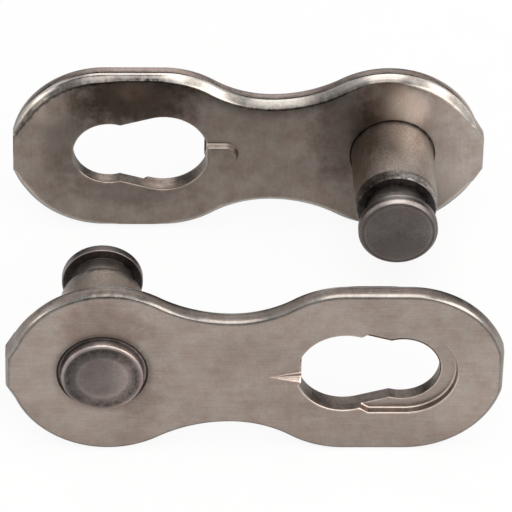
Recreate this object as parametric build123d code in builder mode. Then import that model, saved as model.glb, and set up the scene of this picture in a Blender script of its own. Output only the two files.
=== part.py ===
from build123d import *
from math import asin, atan, atan2, cos, degrees, radians, sin, sqrt
import os

# Riveted connecting link of a narrow 1/2 inch pitch roller chain, all sizes in millimetres.
# The link is two identical halves. Each half is a waisted plate with one grooved pin riveted into
# it and one keyhole slot. To close the link, each pin goes through the round entry of the other
# half's slot, and then the halves are pulled along the chain until the pin necks reach the seats.
# The halves stand apart here as they do before closing, facing each other and in line.
#
# Frame: +X along the chain, Y along the pins, +Z up. The origin is below the middle of the link,
# at the height of the lowest edges. Each half is drawn in its own plane: local x runs from the
# slot end to the pin end, local y is up, and local z points the way the pin points. The plane lies
# on the plate's inner face, so the plate's metal is below it and the pin stands above it.

# Chain
pitch = 12.7
pin_x = pitch / 2
separation = 14.23  # between the inner faces of the two plates, before closing

# Plate blank
thickness = 0.90
lobe_radius = 4.13
slot_lobe_x = -6.25
flat_end_x = -3.73  # where the straight edge beside the slot turns into the shoulder
shoulder_radius = 4.12
waist_x = 1.03
waist_half_height = 2.72
pin_lobe_x = 6.12
slot_end_x = -10.275  # flat across the slot end
nib_x = 10.353  # flat across the cut-off nib at the pin end
nib_half_height = 0.79
nib_root_half_height = 1.45
inner_bevel_width = 0.30  # coined bevel round the inner face
inner_bevel_depth = 0.27
slot_bevel_fade = 32  # degrees from the chain line at which the bevel starts to run out
pin_bevel_fade = 42
outer_bevel = 0.12

# Pin, from the plate's inner face to its tip
pin_radius = 1.80
body_length = 3.98
body_end_chamfer = 0.15
neck_radius = 1.30
neck_length = 1.156
head_radius = 1.716
head_length = 0.514
head_bevel = 0.12
head_back_break = 0.03

# Riveted end. The shank fills the plate's hole and its countersink, short of the outer face, and
# its flat end stands proud in the groove that is left round it.
shank_radius = 1.60
countersink_radius = 1.90
groove_depth = 0.08
rivet_radius = 1.71
rivet_height = 0.28
rivet_rim_radius = 0.10
rivet_flare = 0.02  # by how much the end's side widens down to the groove
shoulder_chamfer = 0.04

# Keyhole slot
seat_radius = 1.572
seat_x = -pin_x + seat_radius - neck_radius  # the neck bears on the seat's end at full pitch
entry_radius = 1.963
entry_x = -3.69
pinch_x = -5.58
pinch_half_width = 1.50

# Recess round the seat, on the outer face, that the pin head sinks into
recess_radius = 2.106
recess_x = -6.25
recess_corner_x = -4.73  # where its straight flank turns in towards the entry
recess_end_x = -4.25
recess_end_half_height = 1.80
recess_depth = 0.34

# Half-sheared tab beside the entry hole: a bump on the inner face, a pressed ramp on the outer face
tab_edge_x = -1.83  # where its end meets the plane of the inner face
tab_half_width = 0.60
tab_lean = 7.5  # degrees by which its end leans out over the hole, towards the outer face
tab_stock = 0.30  # how much longer the tab is made before its end is cut
bump_end_x = -0.40
bump_half_width = 0.575
bump_height = 0.24
bump_wall_angle = 25
ramp_root_x = -0.555
ramp_top = 0.604
ramp_bottom = -0.226
ramp_drop = 0.31  # depth of its floor at the hole
flank_bottom = -0.52  # lower edge, at the hole, of the shallow flank below the ramp
flank_drop = 0.13
ramp_overrun = 1.2  # the ramp's cut runs on past the hole's edge by this factor of its length

# Stations worked out from the sizes above
axis_height = lobe_radius
pin_length = body_length + neck_length + head_length
countersink_depth = countersink_radius - shank_radius
slot_end_half_height = sqrt(lobe_radius**2 - (slot_end_x - slot_lobe_x) ** 2)
nib_root_angle = degrees(asin(nib_root_half_height / lobe_radius))

# Length of the ramp's cut, and the flank's section where that cut ends
ramp_run = (ramp_root_x - tab_edge_x) * ramp_overrun
flank_width = (flank_bottom - ramp_bottom) * ramp_overrun
flank_depth = flank_drop * ramp_overrun

# The shoulder and the first waist arc turn by the same angle, so that both ends stay parallel.
shoulder_run = waist_x - flat_end_x
shoulder_drop = lobe_radius - waist_half_height
shoulder_turn = degrees(2 * atan(shoulder_drop / shoulder_run))
slot_waist_radius = shoulder_run / sin(radians(shoulder_turn)) - shoulder_radius

# The second waist arc is tangent to the pin lobe.
waist_to_lobe = pin_lobe_x - waist_x
pin_waist_radius = (waist_to_lobe**2 + waist_half_height**2 - lobe_radius**2) / (2 * shoulder_drop)
pin_waist_turn = degrees(atan2(waist_to_lobe, waist_half_height + pin_waist_radius))

rear = Plane(origin=(0, separation / 2, axis_height), x_dir=(1, 0, 0), z_dir=(0, -1, 0))
front = Plane(origin=(0, -separation / 2, axis_height), x_dir=(-1, 0, 0), z_dir=(0, 1, 0))


def on_level(shape_list, plane):
    """The shapes whose middles lie in a plane."""
    return shape_list.filter_by(lambda shape: abs(plane.to_local_coords(shape.center()).Z) < 1e-4)


def on_circle(centre_x, radius, angle):
    """A point on a lobe, at an angle in degrees from the pin end's direction."""
    return (centre_x + radius * cos(radians(angle)), radius * sin(radians(angle)))


def waisted_outline(inset=0.0):
    """Half of the plate's outline, from the slot end over the top to the pin end.

    With an inset it is the inner edge of the bevel, which meets the outline at the end flats.
    """
    lobe = lobe_radius - inset
    slot_corner = (slot_end_x, slot_end_half_height)
    slot_fade = on_circle(slot_lobe_x, lobe, 180 - slot_bevel_fade)
    nib_root = on_circle(pin_lobe_x, lobe_radius, nib_root_angle)
    Line((slot_end_x, 0), slot_corner)
    if inset:
        Line(slot_corner, slot_fade)
    else:
        RadiusArc(slot_corner, slot_fade, lobe)
    RadiusArc(slot_fade, (slot_lobe_x, lobe), lobe)
    straight = Line((slot_lobe_x, lobe), (flat_end_x, lobe))
    shoulder = JernArc(straight @ 1, straight % 1, shoulder_radius - inset, -shoulder_turn)
    slot_waist = JernArc(shoulder @ 1, shoulder % 1, slot_waist_radius + inset, shoulder_turn)
    pin_waist = JernArc(slot_waist @ 1, slot_waist % 1, pin_waist_radius + inset, pin_waist_turn)
    pin_lobe_turn = 90 + pin_waist_turn - pin_bevel_fade
    pin_lobe = JernArc(pin_waist @ 1, pin_waist % 1, lobe, -pin_lobe_turn)
    if inset:
        Line(pin_lobe @ 1, nib_root)
    else:
        RadiusArc(pin_lobe @ 1, nib_root, lobe)
    Polyline(nib_root, (nib_x, nib_half_height), (nib_x, 0))


def make_plate(half, label):
    """One plate, with its metal below the plane of its inner face."""
    outer_face = half.offset(-thickness)
    ramp_root = outer_face.from_local_coords((ramp_root_x, ramp_bottom, 0))
    ramp_side = Plane(origin=ramp_root, x_dir=-half.x_dir, z_dir=half.y_dir)
    across_tab = Plane(origin=ramp_root - half.x_dir * ramp_run, x_dir=half.y_dir, z_dir=half.x_dir)
    tab_end = Plane(
        origin=half.from_local_coords((tab_edge_x, 0, 0)),
        x_dir=half.y_dir,
        z_dir=half.z_dir * sin(radians(tab_lean)) - half.x_dir * cos(radians(tab_lean)),
    )

    with BuildPart() as plate:
        # Waisted blank with a small bevel on the outer side and a coined one on the inner side
        with BuildSketch(outer_face.offset(outer_bevel)) as blank:
            with BuildLine():
                waisted_outline()
                mirror(about=Plane.XZ)
            make_face()
        extrude(amount=thickness - outer_bevel - inner_bevel_depth)
        extrude(blank.sketch, amount=-outer_bevel, taper=45)
        for height, inset in ((inner_bevel_depth, 0.0), (0.0, inner_bevel_width)):
            with BuildSketch(half.offset(-height)):
                with BuildLine():
                    waisted_outline(inset)
                    mirror(about=Plane.XZ)
                make_face()
        loft(ruled=True)

        # Countersunk hole for the riveted shank
        with BuildSketch(outer_face):
            with Locations((pin_x, 0)):
                Circle(shank_radius)
        extrude(amount=thickness, mode=Mode.SUBTRACT)
        hole_mouth = on_level(plate.edges(), outer_face).filter_by(
            lambda edge: edge.geom_type == GeomType.CIRCLE and abs(edge.radius - shank_radius) < 1e-4
        )
        chamfer(hole_mouth, countersink_depth)

        # Keyhole: a round entry whose flanks taper into a pinch, and the seat beyond the pinch
        with BuildSketch(outer_face):
            with BuildLine():
                CenterArc((entry_x, 0), entry_radius, 0, 360)
                Line((pinch_x, -pinch_half_width), (pinch_x, pinch_half_width))
            make_hull()
            with Locations((seat_x, 0)):
                Circle(seat_radius)
            with Locations((tab_edge_x, 0)):
                Rectangle(
                    entry_radius, lobe_radius, align=(Align.MIN, Align.CENTER), mode=Mode.SUBTRACT
                )
        extrude(amount=thickness, mode=Mode.SUBTRACT)

        # Recess for the pin head
        with BuildSketch(outer_face):
            with Locations((recess_x, 0)):
                Circle(recess_radius)
            with BuildLine():
                Polyline(
                    (recess_x, 0),
                    (recess_x, recess_radius),
                    (recess_corner_x, recess_radius),
                    (recess_end_x, recess_end_half_height),
                    (recess_end_x, 0),
                )
                mirror(about=Plane.XZ)
            make_face()
        extrude(amount=recess_depth, mode=Mode.SUBTRACT)

        # Half-sheared tab: its stock over the hole and the low bump, cut off along its leaning end
        with BuildSketch(half):
            with Locations((tab_edge_x, 0)):
                Rectangle(2 * tab_stock, 2 * tab_half_width)
        extrude(amount=-thickness)
        with BuildSketch(half):
            with Locations((bump_end_x - bump_half_width, 0)):
                Circle(bump_half_width)
                Rectangle(
                    bump_end_x - bump_half_width - tab_edge_x + tab_stock,
                    2 * bump_half_width,
                    align=(Align.MAX, Align.CENTER),
                )
        extrude(amount=bump_height, taper=bump_wall_angle)
        with BuildSketch(tab_end):
            Rectangle(2 * tab_half_width, 2 * (thickness + bump_height))
        extrude(amount=2 * tab_stock, mode=Mode.SUBTRACT)

        # Ramp pressed into the tab's outer face, and the shallow flank below it
        with BuildSketch(ramp_side):
            with BuildLine():
                Polyline((0, 0), (ramp_run, 0), (ramp_run, ramp_drop * ramp_overrun), close=True)
            make_face()
        extrude(amount=ramp_top - ramp_bottom, mode=Mode.SUBTRACT)
        with BuildSketch(across_tab, mode=Mode.PRIVATE) as flank:
            with BuildLine():
                Polyline((0, 0), (flank_width, 0), (0, flank_depth), close=True)
            make_face()
        loft([Vertex(*ramp_root), flank.sketch.face()], mode=Mode.SUBTRACT)
    plate.part.label = label
    return plate


def make_pin(half, label):
    """One pin: body, neck and head above the inner face, and its riveted end below it."""
    section = Plane(
        origin=half.from_local_coords((pin_x, 0, 0)), x_dir=half.x_dir, z_dir=-half.y_dir
    )
    rivet_face = -thickness - rivet_height
    groove_floor = -thickness + groove_depth
    neck_start = body_length
    neck_end = body_length + neck_length
    with BuildPart() as pin:
        with BuildSketch(section):
            with BuildLine():
                Polyline(
                    (0, rivet_face),
                    (rivet_radius, rivet_face),
                    (rivet_radius + rivet_flare, groove_floor),
                    (countersink_radius - groove_depth, groove_floor),
                    (shank_radius, -thickness + countersink_depth),
                    (shank_radius, 0),
                    (pin_radius - shoulder_chamfer, 0),
                    (pin_radius, shoulder_chamfer),
                    (pin_radius, neck_start - body_end_chamfer),
                    (pin_radius - body_end_chamfer, neck_start),
                    (neck_radius, neck_start),
                    (neck_radius, neck_end),
                    (head_radius - head_back_break, neck_end),
                    (head_radius, neck_end + head_back_break),
                    (head_radius, pin_length - head_bevel),
                    (head_radius - head_bevel, pin_length),
                    (0, pin_length),
                    close=True,
                )
            make_face()
            rivet_rim = vertices().group_by(Axis.Y)[0].sort_by(Axis.X)[-1]
            fillet(rivet_rim, rivet_rim_radius)
        revolve(axis=Axis(section.origin, half.z_dir))
    pin.part.label = label
    return pin


os.makedirs("parts", exist_ok=True)
for side, half in (("rear", rear), ("front", front)):
    plate = make_plate(half, side + "_plate")
    export_step(plate.part, "parts/" + side + "_plate.step")
    pin = make_pin(half, side + "_pin")
    export_step(pin.part, "parts/" + side + "_pin.step")
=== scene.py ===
"""Looks of the riveted chain connecting link: fine meshes of its halves, their finishes, light and camera.

The object's sizes are in millimetres, as in the part's source, and its meshes are scaled to metres when they
are made. Each half is worked out in its own axes: u from the slot end to the pin end, v up, h from the inner
face the way the pin points. A vertex also has a tone, which scales how light its metal is drawn: 1 is plain,
more paints highlights, mostly along edges, and less paints shade, mostly in creases and hollows.
"""
from math import acos, asin, atan, atan2, cos, degrees, pi, radians, sin, sqrt, tan

import bpy
import numpy as np
from mathutils import Matrix, Vector
from mathutils.geometry import delaunay_2d_cdt


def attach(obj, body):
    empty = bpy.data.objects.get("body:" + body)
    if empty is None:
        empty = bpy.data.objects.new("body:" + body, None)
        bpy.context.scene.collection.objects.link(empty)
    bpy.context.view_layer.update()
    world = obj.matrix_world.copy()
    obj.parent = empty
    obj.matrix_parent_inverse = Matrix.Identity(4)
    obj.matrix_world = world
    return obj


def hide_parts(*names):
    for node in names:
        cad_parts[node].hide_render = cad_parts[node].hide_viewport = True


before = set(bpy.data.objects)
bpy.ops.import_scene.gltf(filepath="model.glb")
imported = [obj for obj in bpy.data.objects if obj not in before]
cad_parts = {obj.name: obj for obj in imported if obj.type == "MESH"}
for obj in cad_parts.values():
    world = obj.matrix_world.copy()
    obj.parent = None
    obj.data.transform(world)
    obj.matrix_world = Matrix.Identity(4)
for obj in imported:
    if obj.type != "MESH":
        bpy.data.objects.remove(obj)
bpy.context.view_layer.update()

MM = 0.001
PER_METRE = 1000
scene = bpy.context.scene

# ---------------- sizes, as in the part's source
# Plate and its outline
pitch = 12.7
pin_x = pitch / 2
separation = 14.23
thickness = 0.90
lobe_radius = 4.13
slot_lobe_x = -6.25
flat_end_x = -3.73
shoulder_radius = 4.12
waist_x = 1.03
waist_half_height = 2.72
pin_lobe_x = 6.12
slot_end_x = -10.275
nib_x = 10.353
nib_half_height = 0.79
nib_root_half_height = 1.45
slot_bevel_fade = 32  # degrees
pin_bevel_fade = 42  # degrees

# Pin
pin_radius = 1.80
body_length = 3.98
neck_radius = 1.30
neck_length = 1.156
head_radius = 1.716
head_length = 0.514
shank_radius = 1.60
countersink_radius = 1.90
groove_depth = 0.08
rivet_radius = 1.71
rivet_height = 0.28

# Keyhole slot, the recess round its seat, and the pressed tab with its bump
seat_radius = 1.572
seat_x = -pin_x + seat_radius - neck_radius
entry_radius = 1.963
entry_x = -3.69
pinch_x = -5.58
pinch_half_width = 1.50
recess_radius = 2.106
recess_x = -6.25
recess_corner_x = -4.73
recess_end_x = -4.25
recess_end_half_height = 1.80
recess_depth = 0.34
tab_edge_x = -1.83
tab_end_x = -0.555
tab_top = 0.604
tab_crease = -0.226
tab_flank = -0.52
tab_drop = 0.31
tab_flank_drop = 0.13
tab_lean = 0.09
bump_end_x = -0.40
bump_half_width = 0.575
bump_height = 0.24
bump_wall_angle = 25  # degrees

# Worked out from the sizes above
axis_height = lobe_radius
pin_length = body_length + neck_length + head_length
slot_corner_v = sqrt(lobe_radius**2 - (slot_end_x - slot_lobe_x) ** 2)
slot_corner_angle = degrees(atan2(slot_corner_v, slot_lobe_x - slot_end_x))
nib_root_angle = degrees(asin(nib_root_half_height / lobe_radius))
shoulder_drop = lobe_radius - waist_half_height
shoulder_turn = degrees(2 * atan(shoulder_drop / (waist_x - flat_end_x)))
slot_waist_radius = (waist_x - flat_end_x) / sin(radians(shoulder_turn)) - shoulder_radius
waist_to_lobe = pin_lobe_x - waist_x
pin_waist_radius = (waist_to_lobe**2 + waist_half_height**2 - lobe_radius**2) / (2 * shoulder_drop)
pin_waist_turn = degrees(atan2(waist_to_lobe, waist_half_height + pin_waist_radius))

# ---------------- flat curves
OUTLINE_STEP = 0.13
HOLE_STEP = 0.085
SAME_POINT = 1e-5
ON_LOOP = 2e-5  # how near a vertex of a loop lies to it
RAY_SHIFT = 1.7e-7  # keeps the inside test off a loop's own corners
TINY = 1e-6
BATCH = 1500  # points that are located at a time


def arc(centre_u, centre_v, radius, start, end, step=HOLE_STEP):
    """Points along an arc, its angles in degrees."""
    count = max(2, int(abs(radians(end - start)) * radius / step) + 1)
    turn = np.radians(np.linspace(start, end, count))
    return np.column_stack((centre_u + radius * np.cos(turn), centre_v + radius * np.sin(turn)))


def line(start, end, step=HOLE_STEP):
    """Points along a straight line."""
    start, end = np.array(start, float), np.array(end, float)
    count = max(2, int(np.linalg.norm(end - start) / step) + 2)
    return start + np.linspace(0, 1, count)[:, None] * (end - start)


def both_sides(*runs):
    """An anticlockwise loop that is alike above and below the chain line, from its upper runs."""
    upper = np.vstack(runs)
    points = np.vstack((upper, upper[::-1] * (1, -1)))
    points = points[np.linalg.norm(points - np.roll(points, 1, axis=0), axis=1) > SAME_POINT]
    ahead = np.roll(points, -1, axis=0)
    area = np.sum(points[:, 0] * ahead[:, 1] - ahead[:, 0] * points[:, 1])
    return points if area > 0 else points[::-1].copy()


def plate_outline():
    """Outline of the inner face."""
    step = OUTLINE_STEP
    end_of_turn = 90 - shoulder_turn
    waist_v = waist_half_height
    return both_sides(
        line((slot_end_x, 0), (slot_end_x, slot_corner_v), step),
        arc(slot_lobe_x, 0, lobe_radius, 180 - slot_corner_angle, 90, step),
        line((slot_lobe_x, lobe_radius), (flat_end_x, lobe_radius), step),
        arc(flat_end_x, lobe_radius - shoulder_radius, shoulder_radius, 90, end_of_turn, step),
        arc(waist_x, waist_v + slot_waist_radius, slot_waist_radius, 270 - shoulder_turn, 270, step),
        arc(waist_x, waist_v + pin_waist_radius, pin_waist_radius, 270, 270 + pin_waist_turn, step),
        arc(pin_lobe_x, 0, lobe_radius, 90 + pin_waist_turn, nib_root_angle, step),
        line((pin_lobe_x + lobe_radius * cos(radians(nib_root_angle)), nib_root_half_height),
             (nib_x, nib_half_height), step),
        line((nib_x, nib_half_height), (nib_x, 0), step),
    )


def keyhole():
    """Entry, tapering flanks and seat."""
    flat_v = sqrt(entry_radius**2 - (tab_edge_x - entry_x) ** 2)
    flat_angle = degrees(atan2(flat_v, tab_edge_x - entry_x))
    to_pinch = (pinch_x - entry_x, pinch_half_width)
    tangent = degrees(atan2(to_pinch[1], to_pinch[0]) - acos(entry_radius / np.hypot(*to_pinch)))
    touch = (entry_x + entry_radius * cos(radians(tangent)), entry_radius * sin(radians(tangent)))
    seat_start = degrees(acos((pinch_x - seat_x) / seat_radius))
    return both_sides(
        line((tab_edge_x, 0), (tab_edge_x, flat_v)),
        arc(entry_x, 0, entry_radius, flat_angle, tangent),
        line(touch, (pinch_x, pinch_half_width)),
        arc(seat_x, 0, seat_radius, seat_start, 180),
    )


def recess():
    return both_sides(
        line((recess_end_x, 0), (recess_end_x, recess_end_half_height)),
        line((recess_end_x, recess_end_half_height), (recess_corner_x, recess_radius)),
        line((recess_corner_x, recess_radius), (recess_x, recess_radius)),
        arc(recess_x, 0, recess_radius, 90, 180),
    )


def bump():
    """Bump behind the pressed tab."""
    step = HOLE_STEP / 2
    middle = bump_end_x - bump_half_width
    return both_sides(
        arc(middle, 0, bump_half_width, 0, 90, step),
        line((middle, bump_half_width), (tab_edge_x, bump_half_width), step),
        line((tab_edge_x, bump_half_width), (tab_edge_x, 0), step),
    )


def circle(radius):
    """A circle round the pin's axis."""
    turn = np.linspace(0, 2 * pi, PIN_HOLE_SIDES, endpoint=False)
    return np.column_stack((pin_x + radius * np.cos(turn), radius * np.sin(turn)))


def moved_in(loop, amount):
    """An anticlockwise loop with each point moved inwards by an amount, mitred at its corners."""
    along = np.roll(loop, -1, axis=0) - loop
    along /= np.linalg.norm(along, axis=1)[:, None]
    left = np.column_stack((-along[:, 1], along[:, 0]))
    before = np.roll(left, 1, axis=0)
    mitre = (left + before) / (1 + np.sum(left * before, axis=1))[:, None]
    return loop + mitre * np.reshape(amount, (-1, 1))


def locate(points, loop):
    """Distance of each point from a loop, less than 0 inside, and its place along it in vertex numbers."""
    start, step = loop, np.roll(loop, -1, axis=0) - loop
    end = start + step
    length2 = np.sum(step**2, axis=1)
    distance, place = np.empty(len(points)), np.empty(len(points))
    for first in range(0, len(points), BATCH):
        batch = slice(first, first + BATCH)
        p = points[batch, None, :]
        share = np.clip(np.sum((p - start) * step, axis=2) / length2, 0, 1)
        gap = np.linalg.norm(p - start - share[:, :, None] * step, axis=2)
        near = gap.argmin(axis=1)
        rows = np.arange(len(near))
        level = p[:, :, 1] + RAY_SHIFT
        crosses = (start[:, 1] > level) != (end[:, 1] > level)
        rise = np.where(step[:, 1] == 0, 1, step[:, 1])
        left_of = p[:, :, 0] < start[:, 0] + (level - start[:, 1]) * step[:, 0] / rise
        inside = np.sum(crosses & left_of, axis=1) % 2 == 1
        distance[batch] = np.where(inside, -1, 1) * gap[rows, near]
        place[batch] = (near + share[rows, near]) % len(loop)
    return distance, place


def smooth(x):
    x = np.clip(x, 0, 1)
    return x * x * (3 - 2 * x)


def between(u, start, end, soft):
    """1 from start to end, falling to 0 over a soft distance outside them."""
    return smooth((u - start) / soft + 1) * smooth((end - u) / soft + 1)


def look_up(table, x, column=1):
    """A column of a table at x, its first column, with straight lines between the rows."""
    return np.interp(x, table[:, 0], table[:, column])


def rounding(distance, radius):
    """How far a rounded edge has dropped, at a distance from the edge itself."""
    return radius - np.sqrt(np.maximum(radius**2 - np.clip(radius - distance, 0, radius) ** 2, 0))


# ---------------- the plate
EDGE_ROUND = 0.06  # broken edge of the keyhole
RECESS_ROUND = 0.06
RECESS_FILLET = 0.07
ROUND_SHARES = (0.0, 0.05, 0.17, 0.36, 0.62, 1.0)  # where the rings of vertices lie across a rounding
WALL_GAP = 0.003  # half the width of a wall that is drawn as a step of a height map
SUPPORT = 0.03  # flat strip beside a rounding, that keeps its shading off the face
FADED = 0.12  # what is left of the coined bevel at the end flats
STRIP = 0.06  # width of the rounded roll between the sheared edge and the coined bevel
BEVEL_END = 0.38  # where the coined bevel ends
BEVEL_FINISH_END = 0.30  # how far in the bevel is as glossy as its facet
EDGE_TONE, KEYHOLE_WALL_TONE = 0.8, 0.42  # tones half way through the plate, on its edge and in the slot
SLIM = 0.38  # by how much the coined bevel is slimmer beside the slot, and a little less over the pin
# Stretches along the plate are (start, end, soft distance outside them)
SLIM_AT_SLOT, SLIM_AT_PIN, PIN_SHARE = (-5.4, -4.2, 1.2), (5.3, 6.3, 1.0), 0.9
BURNISH_DEPTH = 0.60  # where the smooth part of the sheared edge ends
WALL_LEAN = 0.035  # by how much the rough part of the sheared edge leans in
HOLE_LEAN = 0.025  # by how much the keyhole widens towards the outer face
SEAT_RING_IN, SEAT_RING_OUT, SEAT_RING_DEPTH = 1.835, 1.875, 0.05  # gap round the pin's shoulder
DISH_RADIUS, DISH_DEPTH = 2.45, 0.02  # where the riveting has drawn the outer face in
RAMP_LIP, RAMP_FILLET = 0.06, 0.09
RAMP_SHARES = (0, 0.06, 0.2, 0.42, 0.7, 1.0)  # where the lines of vertices lie across these two
RAMP_OVERRUN = 1.2  # the ramp goes on past the hole's edge, as a share of its length
RAMP_MARGIN = 0.1  # how far past the hole's edge the ramp is drawn
LIFTED = 0.8  # share of the bump's wall that its height takes
PIN_HOLE_SIDES = 128

# Tones of the coined bevel: a golden painted highlight round the slot end, change from its outer to its
# inner half, a line of painted shade in a crease inside its strip, and a band of painted shade beside it
# over the waist
GOLDEN, GOLDEN_WIDTH, GOLDEN_TONE = (-9.9, -8.6, 0.5), 0.125, 1.6
BLEND_START, BLEND_WIDTH = 0.13, 0.12
CREASE_AT_SLOT, CREASE_AT_PIN = (-7.2, -4.2, 1.0), (5.3, 6.8, 0.7)
SLOT_CREASE, PIN_CREASE = STRIP + 0.012, STRIP + 0.042
CREASE_WIDTH, CREASE_SHADE = 0.014, 0.8
SHADED_BAND, SHADED_BAND_START, SHADED_BAND_WIDTH, SHADED_BAND_DARKNESS = (-3.4, 3.6, 1.2), 0.30, 0.65, 0.5
SHADED_BAND_PLACE = 0.33
# Painted shade round the pin, on the inner and the outer face, and the painted highlight of the ramp's flank
SEAT_SHADE_WIDTH, SEAT_SHADE = 0.09, 0.75
HALO_WIDTH, HALO_BELOW, HALO_ABOVE = 0.30, 0.2, 0.5
FLANK, FLANK_HIGHLIGHT = (0.3, 0.85, 0.15), 1.3
# Rings of vertices that end a zone of tones, so that no tone runs out over the flat faces
INNER_FACE_RINGS = (0.58, 0.75, 0.95)
OUTER_FACE_RINGS = (0.16, 0.18, 0.21)

# Coined bevel of the inner face, from the edge to the face: (distance in, depth, tone); its tone paints a
# dark line of shade at the edge and shade where the bevel runs into the face
COINED = np.array([
    (0.0, 0.415, 0.42), (0.003, 0.390, 0.55), (0.009, 0.355, 0.85), (0.018, 0.326, 1.05),
    (0.030, 0.302, 1.1), (0.042, 0.284, 1.0), (0.050, 0.274, 1.0), (0.060, 0.264, 1.0),
    (0.070, 0.254, 1.0), (0.080, 0.244, 1.0), (0.120, 0.204, 1.0), (0.165, 0.159, 1.0),
    (0.205, 0.119, 1.0), (0.230, 0.094, 0.95), (0.255, 0.071, 0.9), (0.280, 0.050, 0.8),
    (0.305, 0.031, 0.75), (0.330, 0.016, 0.72), (0.355, 0.006, 0.75), (0.380, 0.0, 0.85), (0.450, 0.0, 1.0),
])
# Small bevel of the outer face: (distance in, depth)
TUMBLED = np.array([
    (0.0, 0.110), (0.012, 0.092), (0.030, 0.072), (0.052, 0.050), (0.076, 0.029), (0.096, 0.015),
    (0.114, 0.006), (0.132, 0.001), (0.145, 0.0),
])
# Painted highlights and shade of the coined bevel along the plate: (u, strip, outer half of the facet, inner
# half)
ALONG_COINED = np.array([
    (-10.3, 1.3, 0.40, 0.40), (-8.2, 1.3, 0.40, 0.40), (-7.6, 0.95, 0.52, 0.38), (-5.8, 0.84, 0.50, 0.30),
    (-4.5, 0.80, 0.42, 0.14), (-3.5, 1.10, 0.85, 0.35), (-2.6, 1.85, 1.70, 1.30), (-1.2, 1.60, 1.40, 1.25),
    (-0.2, 0.85, 0.60, 0.45), (3.8, 0.80, 0.60, 0.36), (5.4, 1.05, 1.30, 0.60), (6.8, 1.15, 1.30, 0.65),
    (7.6, 1.55, 1.15, 1.05), (10.4, 1.60, 1.10, 1.10),
])
# Tone of the coined bevel where it faces down, painted light where it rolls into the face and painted shade
# on
# its facet: (distance in, tone)
COINED_BELOW = np.array([
    (0.0, 0.8), (0.06, 0.6), (0.20, 0.65), (0.25, 0.9), (0.28, 1.4), (0.36, 1.4), (0.42, 1.0),
])
# Painted shade of the small outer bevel along the plate: (u, tone)
ALONG_TUMBLED = np.array([
    (-10.3, 0.85), (-8.5, 0.85), (-6.5, 0.72), (-3.0, 0.72), (0.0, 0.55), (2.0, 0.62), (4.0, 0.6),
    (5.5, 0.34), (7.0, 0.34), (8.3, 0.8), (10.3, 0.8),
])
# Line of painted shade where the small outer bevel meets the face: (distance in, darkness)
TUMBLED_LINE = np.array([(0.11, 0.0), (0.145, 0.8), (0.16, 1.0), (0.18, 0.7), (0.21, 0.0)])
# Painted highlight across a hole's broken edge: (share of the rounding, tone)
BROKEN_EDGE = np.array([(0.0, 0.6), (0.15, 1.2), (0.4, 1.7), (0.9, 1.5)])
# Painted shade on the recess's wall and a painted highlight along its rims: (distance, tone)
RECESS_RIM = np.array([
    (0.0, 0.55), (1.2 * WALL_GAP, 0.55), (0.02, 1.5), (0.045, 1.6), (0.06, 1.4), (0.09, 1.0),
])


def bevel_size(points):
    """Size of the coined bevel, which runs out at the end flats, and how slim it is, 1 or less."""
    u, v = points[:, 0], np.abs(points[:, 1])
    slot_angle = np.degrees(np.arctan2(v, slot_lobe_x - u))
    pin_angle = np.degrees(np.arctan2(v, u - pin_lobe_x))
    at_slot = (slot_angle - slot_corner_angle) / (slot_bevel_fade - slot_corner_angle)
    at_pin = (pin_angle - nib_root_angle) / (pin_bevel_fade - nib_root_angle)
    grown = np.where(u < slot_lobe_x, at_slot, np.where(u > pin_lobe_x, at_pin, 1))
    size = FADED + (1 - FADED) * np.sqrt(np.clip(grown, 0, 1))
    slim = 1 - SLIM * np.maximum(between(u, *SLIM_AT_SLOT), PIN_SHARE * between(u, *SLIM_AT_PIN))
    return size, slim


def bevel_reach(place, size, slim):
    """Distance in from the edge of a place on the coined bevel's section."""
    return size * np.where(place < STRIP, place, STRIP + (place - STRIP) * slim)


def bevel_place(inset, size, slim):
    """The place on the coined bevel's section at a distance in from the edge."""
    inset = inset / size
    return np.where(inset < STRIP, inset, STRIP + (inset - STRIP) / slim)


outline_loop = plate_outline()
outer_loop = moved_in(outline_loop, WALL_LEAN)
keyhole_loop = keyhole()
keyhole_outer_loop = moved_in(keyhole_loop, -HOLE_LEAN)
recess_loop = recess()
bump_loop = bump()
bump_wall = bump_height * tan(radians(bump_wall_angle))
pin_hole = circle(shank_radius)
ramp_length = tab_end_x - tab_edge_x
EDGE_STEPS = [-EDGE_ROUND * s for s in ROUND_SHARES[1:]] + [-EDGE_ROUND - SUPPORT]


def inner_height(points):
    """Height of the inner face: its coined bevel, the keyhole's edge, the bump and the gap round the pin."""
    u, v = points.T
    size, slim = bevel_size(points)
    place = bevel_place(-locate(points, outline_loop)[0], size, slim)
    height = -look_up(COINED, place) * size
    height -= rounding(locate(points, keyhole_loop)[0], EDGE_ROUND)
    into = -locate(points, bump_loop)[0]
    height += bump_height * smooth(0.5 + (into / bump_wall - 0.5) * LIFTED) * (into > 0)
    from_pin = np.hypot(u - pin_x, v)
    height -= SEAT_RING_DEPTH * (1 - smooth((from_pin - SEAT_RING_IN) / (SEAT_RING_OUT - SEAT_RING_IN)))
    return height


def ramp_share(u):
    """How far along the pressed ramp a place is, 0 at its root and 1 at the hole."""
    return np.clip((tab_end_x - u) / ramp_length, 0, RAMP_OVERRUN)


def facing_up(v):
    """1 along the lower sides of the holes, where their edges face up, and 0 along the upper sides."""
    return smooth(0.5 - v / 1.6)


def ramp_depth(u, v):
    """Depth of the pressed ramp: its sloping floor, and a shallow flank below its lower wall."""
    share = ramp_share(u)
    small = np.maximum(share, TINY)
    below = (v - tab_flank * share - tab_crease * (1 - share)) / ((tab_crease - tab_flank) * small)
    flank = tab_flank_drop * share * np.clip(below, 0, 1) ** 0.8
    flank += rounding(tab_crease - v - WALL_GAP, RAMP_LIP * small)
    floor = tab_drop * share - rounding(v - tab_crease - WALL_GAP, RAMP_FILLET * small)
    on_floor = (v > tab_crease) & (v < tab_top)
    return np.where(on_floor, floor, np.where((v <= tab_crease) & (share > 0), flank, 0))


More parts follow.
